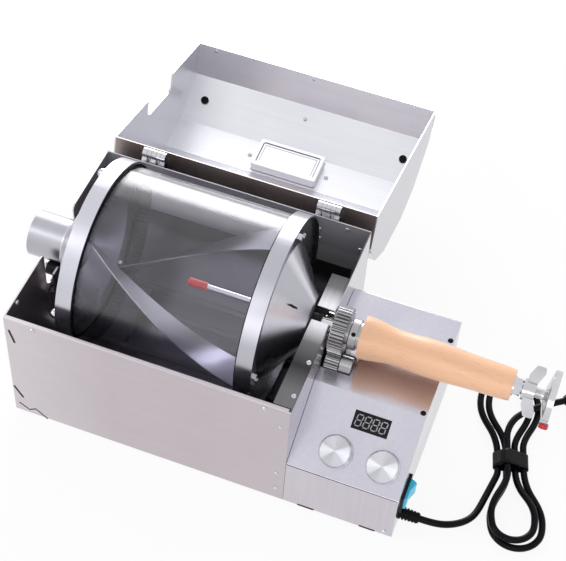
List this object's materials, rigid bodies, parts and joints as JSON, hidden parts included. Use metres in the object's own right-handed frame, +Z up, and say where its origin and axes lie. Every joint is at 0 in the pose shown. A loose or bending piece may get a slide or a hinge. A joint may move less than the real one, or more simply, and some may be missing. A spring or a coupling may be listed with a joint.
{
  "type": "coffee roaster",
  "caption": "Electric tabletop coffee roaster: a glass drum with a wooden handle turned over a heated steel trough by a geared motor, with a hinged lid, control box and coiled mains lead.",
  "frame": {"origin": "on the table, under the middle of the bounding box of the whole object with its lid open, lead left out", "axes": "+X along the drum axis from the spigot to the thermometer, +Y from the front panel to the hinges, +Z up"},
  "size_m": [0.6181, 0.493, 0.2375],
  "materials": {
    "panel_steel": "satin",
    "wall_steel": "satin",
    "deck_steel": "polished",
    "trough_steel": "matt black",
    "lid_steel": "polished",
    "cap_steel": "spun",
    "bright_steel": "polished",
    "gear_steel": "machined",
    "clear_glass": "clear",
    "black_rubber": "matt",
    "black_plastic": "matt",
    "cord_jacket": "matt",
    "knob_metal": "spun",
    "blue_plastic": "translucent",
    "red_plastic": "gloss",
    "white_dial": "satin",
    "beech": "oiled",
    "heater_sheath": "oxidised",
    "display_black": "gloss"
  },
  "bodies": {
    "casing": {"base_plate": "trough_steel", "front_panel": "panel_steel", "left_wall": "panel_steel", "right_wall": "wall_steel", "back_wall": "wall_steel", "heat_pan": "trough_steel", "heaters": "heater_sheath", "heater_combs": "heater_sheath", "control_cover": "deck_steel", "control_side": "deck_steel", "display_window": "display_black", "display_module": "display_black", "potentiometers": "gear_steel", "gearmotor": "gear_steel", "switch_body": "black_plastic", "feet": "black_rubber", "bearing_pins": "bright_steel", "roller_bracket": "panel_steel", "hinge_fixed": "bright_steel", "cord_relief": "black_rubber", "cord_lead": "cord_jacket", "cord_hank": "cord_jacket", "cord_tie": "black_plastic", "cord_tail": "cord_jacket", "cord_plug": "black_plastic"},
    "pinion": {"motor_pinion": "gear_steel"},
    "bearing_front": {"bearing_front": "bright_steel"},
    "bearing_back": {"bearing_back": "bright_steel"},
    "roller_front": {"roller_front": "black_plastic"},
    "roller_back": {"roller_back": "black_plastic"},
    "drum": {"glass_drum": "clear_glass", "gaskets": "black_rubber", "left_cap": "cap_steel", "spigot": "cap_steel", "right_cap": "cap_steel", "cap_bolts": "bright_steel", "mixing_vanes": "lid_steel", "axle": "bright_steel", "collar": "black_plastic", "drum_gear": "gear_steel", "ferrule": "bright_steel", "handle": "beech", "tail_gland": "bright_steel", "wing_nut": "bright_steel", "probe": "bright_steel", "probe_tip": "red_plastic", "thermometer_case": "bright_steel", "thermometer_dial": "white_dial", "thermometer_lens": "clear_glass", "thermometer_cap": "red_plastic"},
    "pointer": {"thermometer_pointer": "black_plastic"},
    "lid": {"lid_shell": "lid_steel", "lid_left_end": "lid_steel", "lid_right_end": "lid_steel", "lid_pull": "bright_steel", "lid_buffers": "black_rubber", "hinge_lid": "bright_steel"},
    "knob_left": {"knob_left": "knob_metal"},
    "knob_right": {"knob_right": "knob_metal"},
    "rocker": {"switch_rocker": "blue_plastic"}
  },
  "joints": [
    {"name": "drum_spin", "type": "hinge", "parent": "casing", "child": "drum", "pos_m": [-0.0425, -0.12746, 0.14], "axis": [1, 0, 0], "continuous": true},
    {"name": "pinion_spin", "type": "hinge", "parent": "casing", "child": "pinion", "pos_m": [0.0555, -0.145, 0.11401], "axis": [1, 0, 0], "continuous": true},
    {"name": "bearing_front_spin", "type": "hinge", "parent": "casing", "child": "bearing_front", "pos_m": [0.0405, -0.14152, 0.12821], "axis": [1, 0, 0], "continuous": true},
    {"name": "bearing_back_spin", "type": "hinge", "parent": "casing", "child": "bearing_back", "pos_m": [0.0405, -0.11341, 0.12821], "axis": [1, 0, 0], "continuous": true},
    {"name": "roller_front_spin", "type": "hinge", "parent": "casing", "child": "roller_front", "pos_m": [-0.2425, -0.14697, 0.11675], "axis": [1, 0, 0], "continuous": true},
    {"name": "roller_back_spin", "type": "hinge", "parent": "casing", "child": "roller_back", "pos_m": [-0.2425, -0.10796, 0.11675], "axis": [1, 0, 0], "continuous": true},
    {"name": "lid_swing", "type": "hinge", "parent": "casing", "child": "lid", "pos_m": [-0.099, 0.00253, 0.1565], "axis": [1, 0, 0], "range_deg": [0, 195]},
    {"name": "knob_left_turn", "type": "hinge", "parent": "casing", "child": "knob_left", "pos_m": [0.088, -0.22357, 0.08231], "axis": [0, -0.53, 0.848], "range_deg": [-150, 150]},
    {"name": "knob_right_turn", "type": "hinge", "parent": "casing", "child": "knob_right", "pos_m": [0.135, -0.22357, 0.08231], "axis": [0, -0.53, 0.848], "range_deg": [-150, 150]},
    {"name": "switch_rock", "type": "hinge", "parent": "casing", "child": "rocker", "pos_m": [0.1595, -0.21746, 0.042], "axis": [0, 0, 1], "range_deg": [0, 20]},
    {"name": "pointer_turn", "type": "hinge", "parent": "drum", "child": "pointer", "pos_m": [0.2625, -0.12746, 0.14], "axis": [-1, 0, 0], "range_deg": [0, 250]}
  ],
  "couplings": [
    {"joint": "pinion_spin", "follows": "drum_spin", "ratio": -2.5714},
    {"joint": "bearing_front_spin", "follows": "drum_spin", "ratio": -0.63636},
    {"joint": "bearing_back_spin", "follows": "drum_spin", "ratio": -0.63636},
    {"joint": "roller_front_spin", "follows": "drum_spin", "ratio": -3.2857},
    {"joint": "roller_back_spin", "follows": "drum_spin", "ratio": -3.2857}
  ]
}
